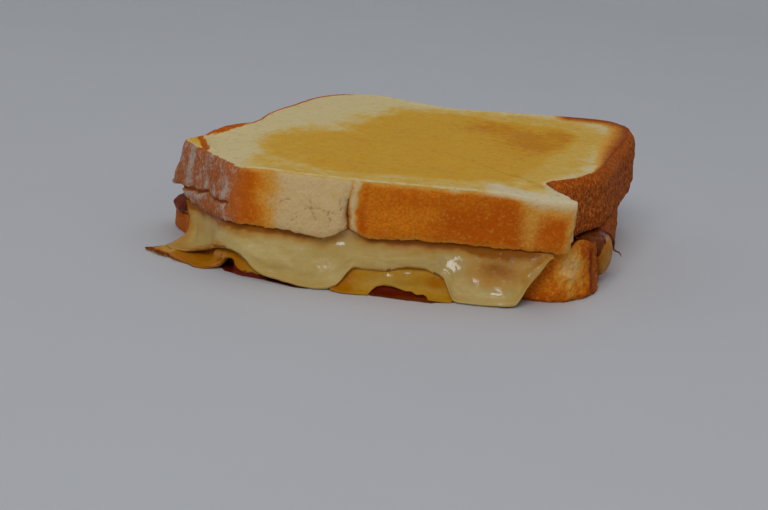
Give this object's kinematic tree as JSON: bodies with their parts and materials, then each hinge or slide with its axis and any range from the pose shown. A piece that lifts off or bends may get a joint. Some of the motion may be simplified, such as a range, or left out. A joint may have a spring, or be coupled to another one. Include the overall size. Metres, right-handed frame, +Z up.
{
  "type": "grilled cheese sandwich",
  "caption": "Grilled cheese sandwich of toasted white bread, with melted cheese run out along its long side and cooked onion showing at the ends.",
  "frame": {"origin": "on the surface the sandwich rests on, under the middle of its bounding box", "axes": "+X towards the flat base of the loaf, -X towards its domed end, -Y towards the long side where most of the cheese has run out, +Z up"},
  "size_m": [0.1332, 0.112, 0.0316],
  "materials": {
    "toasted_bread": "golden toasted crumb with a paler rim and brown crust sides",
    "toasted_crust": "browned crust, rough and dry",
    "amber_cheese": "oily melted cheese, browned at its crisp edge",
    "pale_cheese": "glossy melted cheese, slightly translucent",
    "cooked_onion": "dark glossy caramelised onion"
  },
  "bodies": {
    "root": {"bread_bottom": "toasted_crust", "bread_top": "toasted_bread", "cheese_amber": "amber_cheese", "cheese_pale": "pale_cheese", "onion": "cooked_onion"}
  },
  "joints": []
}
